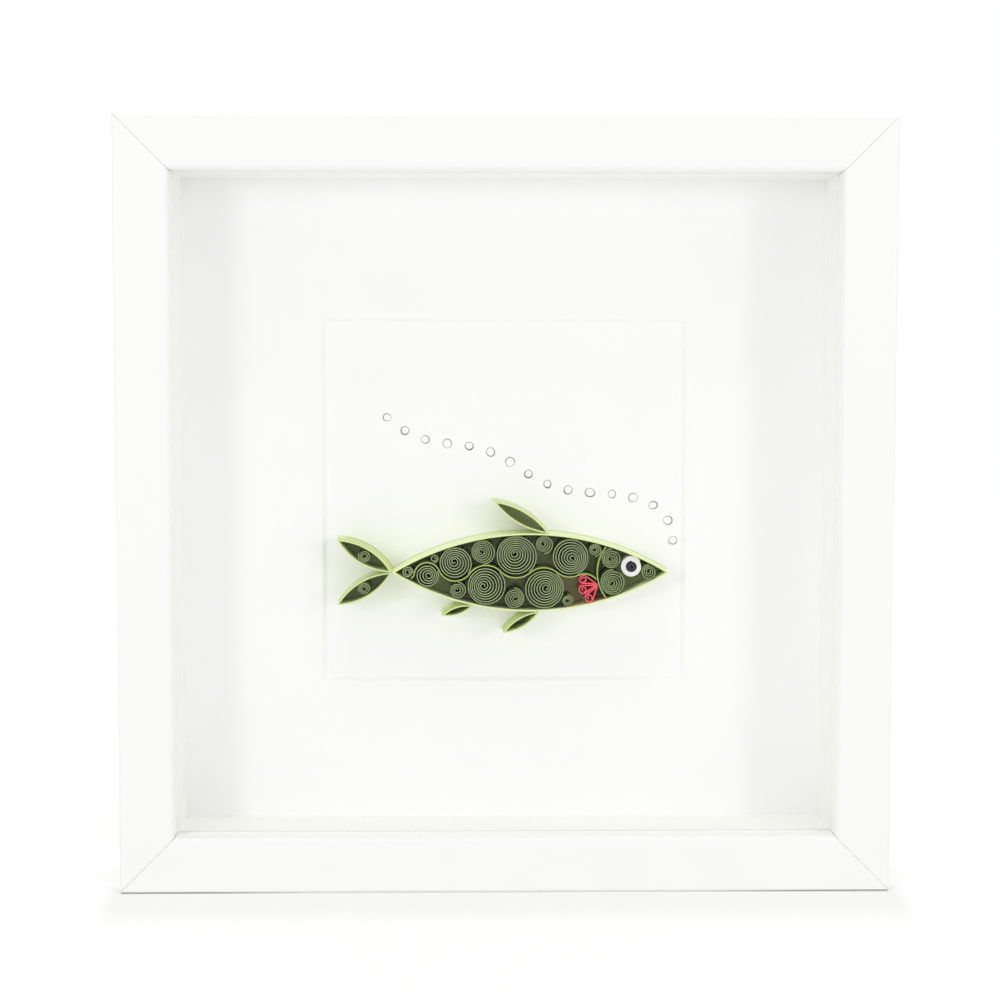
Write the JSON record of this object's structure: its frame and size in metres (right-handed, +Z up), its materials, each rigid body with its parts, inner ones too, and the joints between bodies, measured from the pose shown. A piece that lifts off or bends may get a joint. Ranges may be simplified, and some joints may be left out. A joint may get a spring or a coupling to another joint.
{
  "type": "framed quilled paper art",
  "caption": "Square white box frame with a glazed front, a window mat and a quilled paper fish standing on the card inside, with a hanger on its back.",
  "frame": {"origin": "middle of the frame's footprint, on the surface that its bottom rail stands on", "axes": "+Z up, +X across the picture to the viewer's right, +Y from the front to the back, so the picture faces -Y"},
  "size_m": [0.25, 0.045, 0.25],
  "materials": {
    "fin_strip": "light green quilling paper",
    "hardboard": "brown hardboard, smooth face",
    "point_steel": "bright rolled steel sheet",
    "lime_strip": "lime quilling paper",
    "moss_strip": "moss green quilling paper",
    "dark_strip": "black quilling paper",
    "white_strip": "white quilling paper",
    "olive_card": "olive card",
    "clear_pane": "clear float glass",
    "hanger_steel": "zinc-plated pressed steel",
    "sage_strip": "sage green quilling paper",
    "red_strip": "red quilling paper",
    "white_card": "fine-grained white card",
    "white_paint": "smooth white wrap over wooden moulding",
    "leaf_strip": "leaf green quilling paper",
    "spacer_wrap": "white-faced wooden slat",
    "mat_board": "smooth white mount board with a pale core"
  },
  "bodies": {
    "root": {"back_fin": "fin_strip", "backing_board": "hardboard", "belly_fin_front": "fin_strip", "belly_fin_rear": "fin_strip", "board_points": "point_steel", "body_outline": "lime_strip", "cheek_roll_lower": "moss_strip", "cheek_roll_upper": "moss_strip", "corner_nails": "point_steel", "eye_core": "dark_strip", "eye_white": "white_strip", "fish_base": "olive_card", "gill_strip": "lime_strip", "glass_pane": "clear_pane", "hanger_plate": "hanger_steel", "hanger_rivets": "hanger_steel", "large_roll_1": "sage_strip", "large_roll_2": "sage_strip", "large_roll_3": "sage_strip", "large_roll_4": "sage_strip", "large_roll_5": "sage_strip", "large_roll_6": "sage_strip", "large_roll_7": "sage_strip", "nose_roll": "moss_strip", "petal_1": "red_strip", "petal_2": "red_strip", "petal_3": "red_strip", "picture_card": "white_card", "rail_bottom": "white_paint", "rail_left": "white_paint", "rail_right": "white_paint", "rail_top": "white_paint", "running_stem": "leaf_strip", "small_roll_1": "moss_strip", "small_roll_2": "moss_strip", "small_roll_3": "moss_strip", "small_roll_4": "moss_strip", "small_roll_5": "moss_strip", "small_roll_6": "moss_strip", "small_roll_7": "moss_strip", "spacer_bottom": "spacer_wrap", "spacer_left": "spacer_wrap", "spacer_right": "spacer_wrap", "spacer_top": "spacer_wrap", "tail_lobe_lower": "fin_strip", "tail_lobe_upper": "fin_strip", "tail_roll_lower": "moss_strip", "tail_roll_upper": "moss_strip", "window_mat": "mat_board"}
  },
  "joints": []
}
